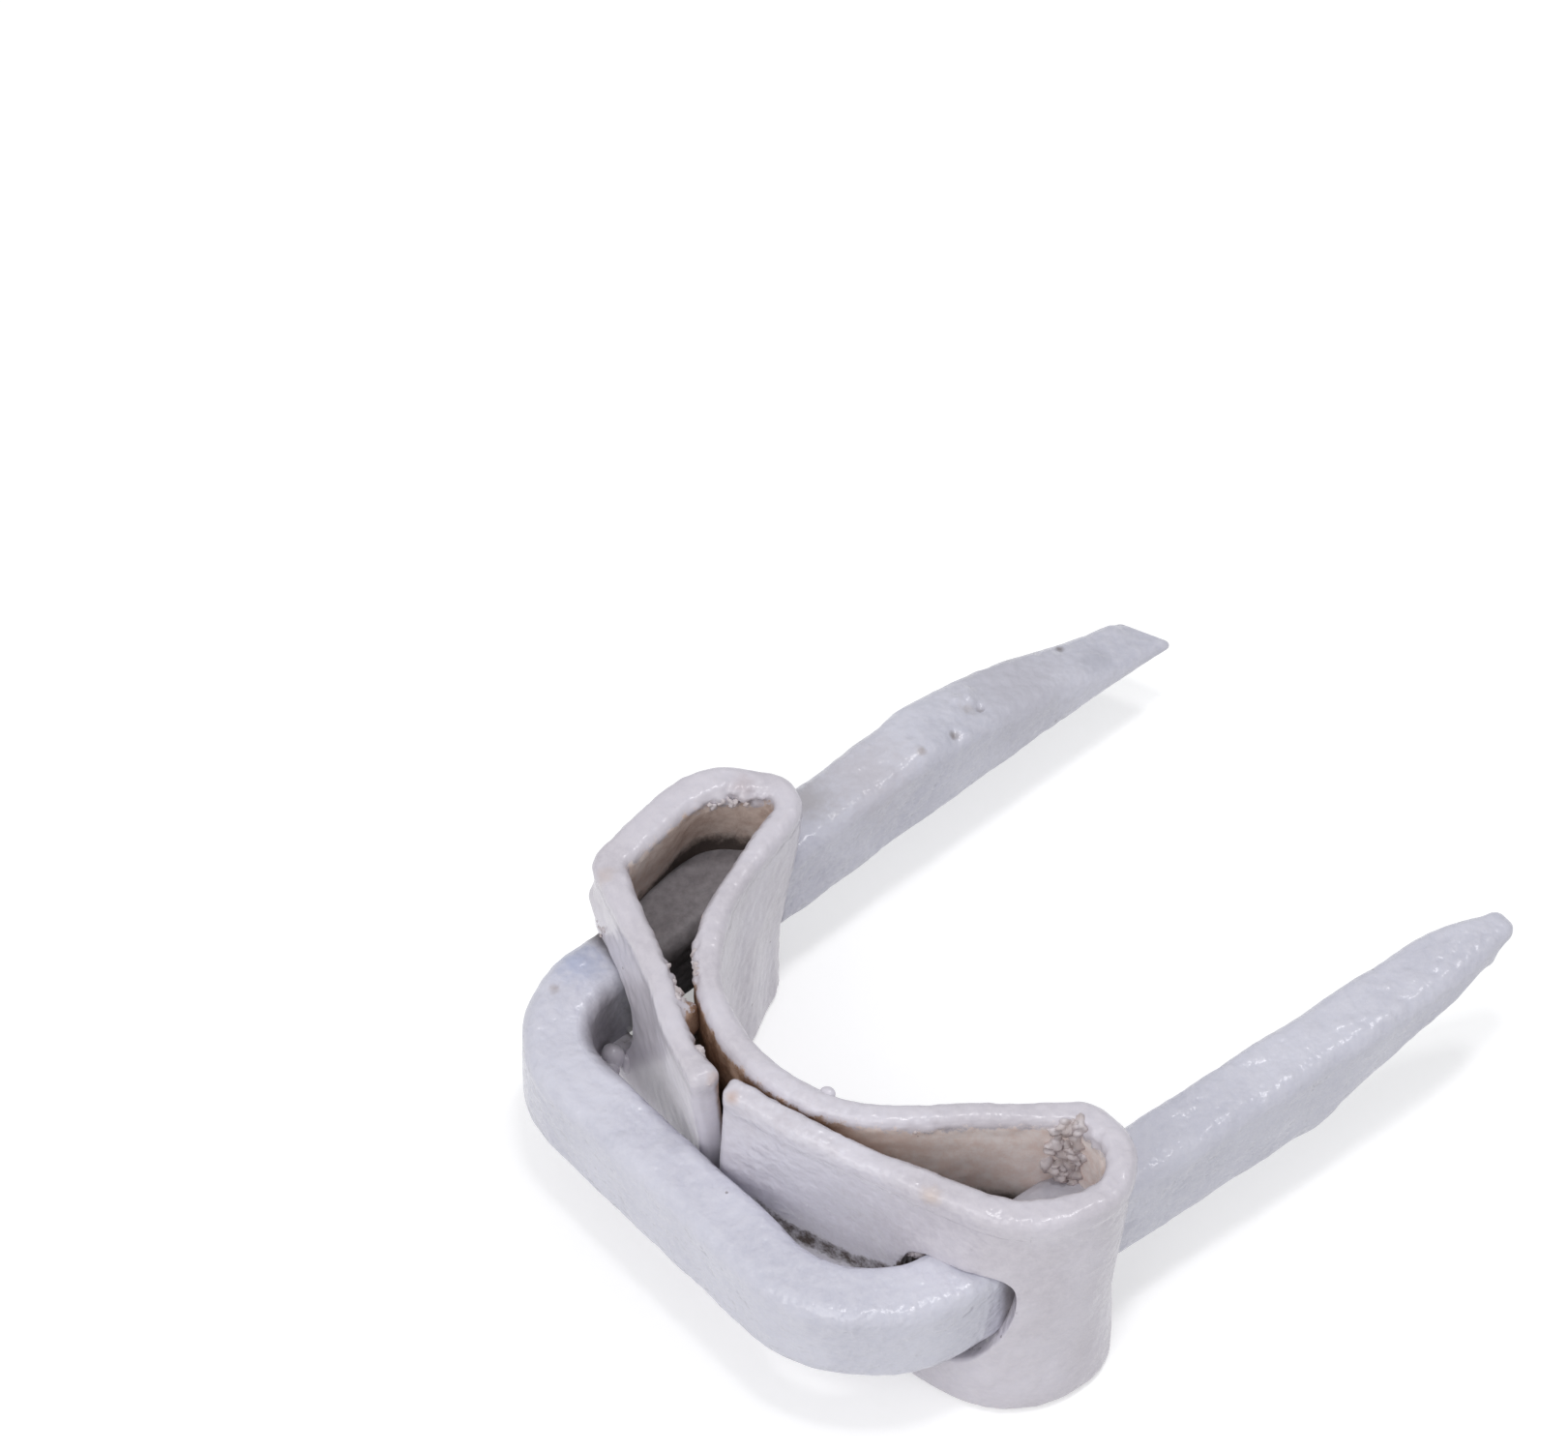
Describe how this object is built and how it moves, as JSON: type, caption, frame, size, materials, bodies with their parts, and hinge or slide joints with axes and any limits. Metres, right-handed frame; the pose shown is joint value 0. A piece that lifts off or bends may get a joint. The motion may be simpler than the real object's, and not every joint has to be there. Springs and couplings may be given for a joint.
{
  "type": "insulated cable staple",
  "caption": "Bent flat-wire staple with sheared chisel points, threaded through a folded insulating fibre strip that forms a round saddle for a cable.",
  "frame": {"origin": "on the axis of the round cable seat, halfway up the strip's width", "axes": "+X along the legs towards their points, +Y towards the leg that is bevelled on top, +Z along the cable seat's axis, up across the strip"},
  "size_m": [0.0195, 0.015, 0.0064],
  "materials": {
    "painted_wire": "satin pale grey enamel with fine orange peel over bent steel wire",
    "painted_fibre": "satin pale grey enamel over tan insulating fibre, bare fibre inside the folds"
  },
  "bodies": {
    "root": {"staple_wire": "painted_wire", "insulating_strap": "painted_fibre"}
  },
  "joints": []
}
